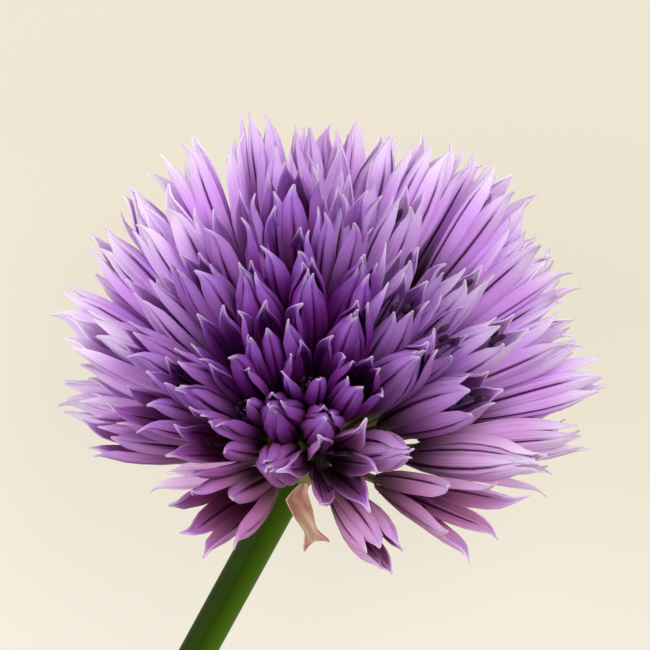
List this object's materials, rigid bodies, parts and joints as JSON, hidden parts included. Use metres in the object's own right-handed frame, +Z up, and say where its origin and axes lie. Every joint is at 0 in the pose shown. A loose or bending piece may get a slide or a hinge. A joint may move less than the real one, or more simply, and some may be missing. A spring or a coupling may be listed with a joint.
{
  "type": "chive flower head",
  "caption": "Round purple chive flower head of narrow pointed florets on its cut green stem, with papery bracts, lying at rest.",
  "frame": {"origin": "middle of the underside of the whole flower's bounding box, on the surface that it lies on", "axes": "+Z up; the head faces +Y and up; the stem runs from the head towards -Y and -X down to the surface"},
  "size_m": [0.054, 0.0824, 0.0349],
  "materials": {
    "tepal": "soft satin petal, lilac at the tips and plum at the base",
    "stem": "smooth satin green",
    "spathe": "dry wrinkled papery bract"
  },
  "bodies": {
    "root": {"flower_head": "tepal", "stem": "stem", "spathe_valve_1": "spathe", "spathe_valve_2": "spathe"}
  },
  "joints": []
}
